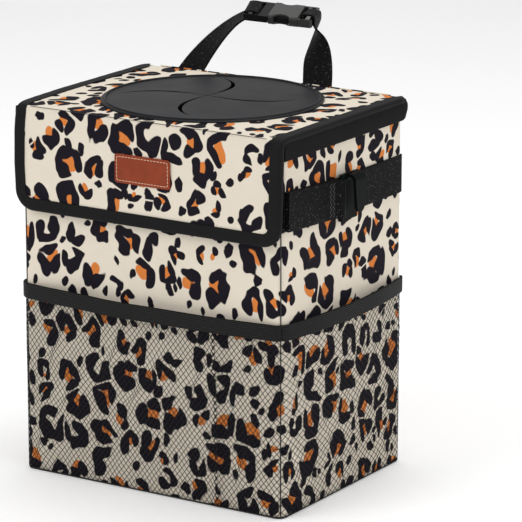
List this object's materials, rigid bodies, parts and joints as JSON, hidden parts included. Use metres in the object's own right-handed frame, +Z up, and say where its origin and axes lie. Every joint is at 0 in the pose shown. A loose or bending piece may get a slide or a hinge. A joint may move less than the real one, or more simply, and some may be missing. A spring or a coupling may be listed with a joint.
{
  "type": "car trash bin",
  "caption": "Stiffened cloth bin for a car with a hinged lid, a slit rubber disc, a folding front flap, net pockets, bag hooks and a buckled hanging handle.",
  "frame": {"origin": "middle of the underside of the base, below the cloth box", "axes": "+Z up, -Y the front with the flap and the large net pocket, +X to the right"},
  "size_m": [0.258, 0.2286, 0.339],
  "materials": {
    "printed_cloth": "cream woven cloth with a printed leopard pattern in near black and orange brown",
    "black_cloth": "black coated cloth",
    "board": "plain stiffening sheet",
    "lining": "grey waterproof film",
    "binding_tape": "black twill tape",
    "net": "black knotless diamond net",
    "webbing": "black ribbed webbing",
    "hook_plastic": "black moulded plastic",
    "buckle_plastic": "dark grey moulded plastic, smooth top",
    "rubber": "charcoal rubber with a low sheen",
    "leather": "tan leather with light stitching",
    "closing_strip": "black hook and loop tape"
  },
  "bodies": {
    "root": {"front_panel": "printed_cloth", "back_panel": "printed_cloth", "left_panel": "printed_cloth", "right_panel": "printed_cloth", "base_panel": "black_cloth", "front_board": "board", "back_board": "board", "left_board_front": "board", "left_board_rear": "board", "right_board_front": "board", "right_board_rear": "board", "base_board": "board", "lining": "lining", "rim_binding": "binding_tape", "front_net": "net", "left_net": "net", "right_net": "net", "front_pocket_tape": "binding_tape", "left_pocket_tape": "binding_tape", "right_pocket_tape": "binding_tape", "left_side_strap": "webbing", "right_side_strap": "webbing", "left_hook_loop": "webbing", "right_hook_loop": "webbing", "left_bag_hook": "hook_plastic", "right_bag_hook": "hook_plastic", "loop_strip": "closing_strip", "handle_leg_left": "webbing", "handle_leg_right": "webbing", "buckle_socket": "buckle_plastic"},
    "plug": {"buckle_plug": "buckle_plastic"},
    "lid": {"lid_cloth": "printed_cloth", "lid_board": "board", "lid_lining": "lining", "left_skirt": "black_cloth", "right_skirt": "black_cloth", "left_lid_binding": "binding_tape", "right_lid_binding": "binding_tape", "petal_disc": "rubber"},
    "flap": {"flap_cloth": "printed_cloth", "flap_board": "board", "flap_lining": "lining", "flap_binding": "binding_tape", "hook_strip": "closing_strip", "leather_patch": "leather"}
  },
  "joints": [
    {"name": "lid_hinge", "type": "hinge", "parent": "root", "child": "lid", "pos_m": [0, 0.0832, 0.2829], "axis": [-1, 0, 0], "range_deg": [0, 85]},
    {"name": "flap_fold", "type": "hinge", "parent": "lid", "child": "flap", "pos_m": [0, -0.0901, 0.2829], "axis": [-1, 0, 0], "range_deg": [0, 90]},
    {"name": "buckle_release", "type": "slide", "parent": "root", "child": "plug", "axis": [-0.9432, -0.3248, 0.0698], "range_m": [0, 0.016], "deforming": ["handle_leg_left"]}
  ]
}
